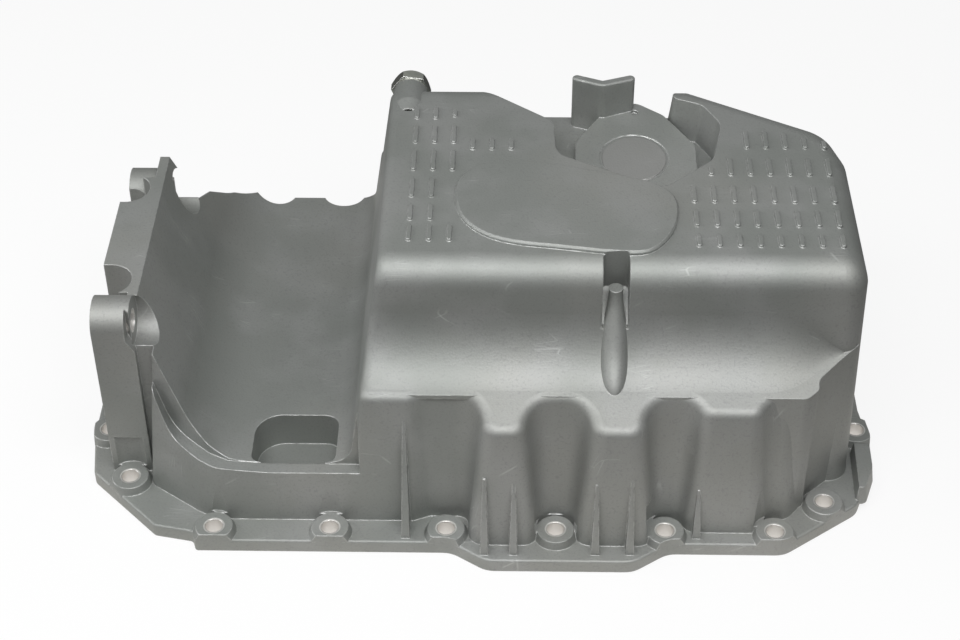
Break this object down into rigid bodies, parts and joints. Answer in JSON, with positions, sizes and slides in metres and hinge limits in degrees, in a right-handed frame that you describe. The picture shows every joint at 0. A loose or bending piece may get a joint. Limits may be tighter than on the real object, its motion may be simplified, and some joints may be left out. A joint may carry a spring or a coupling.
{
  "type": "engine oil pan",
  "caption": "Die-cast aluminium engine oil pan with a bolted gasket flange, a shallow saddle end, a deep sump with a level-sensor notch and a drain plug.",
  "frame": {"origin": "middle of the gasket face's bounding rectangle, on the gasket plane", "axes": "+Z away from the engine, towards the sump's bottom; +X along the crankshaft, from the gearbox end to the timing end; +Y towards the drain plug's side"},
  "size_m": [0.415, 0.271, 0.153],
  "materials": {
    "cast_aluminium": "satin shot-blasted aluminium casting",
    "zinc_plate": "bright zinc-plated steel",
    "washer_aluminium": "soft bare aluminium"
  },
  "bodies": {
    "pan": {"pan_casting": "cast_aluminium"},
    "washer": {"sealing_washer": "washer_aluminium"},
    "plug": {"drain_plug": "zinc_plate"}
  },
  "joints": [
    {"name": "washer_travel", "type": "slide", "parent": "pan", "child": "washer", "axis": [0, 1, 0], "range_m": [0, 0.012]},
    {"name": "plug_turn", "type": "hinge", "parent": "washer", "child": "plug", "pos_m": [-0.04, 0.0877, 0.1382], "axis": [0, 1, 0], "range_deg": [0, 2960]}
  ],
  "couplings": [
    {"joint": "plug_turn", "follows": "washer_travel", "rad_per_m": 4188.8}
  ]
}
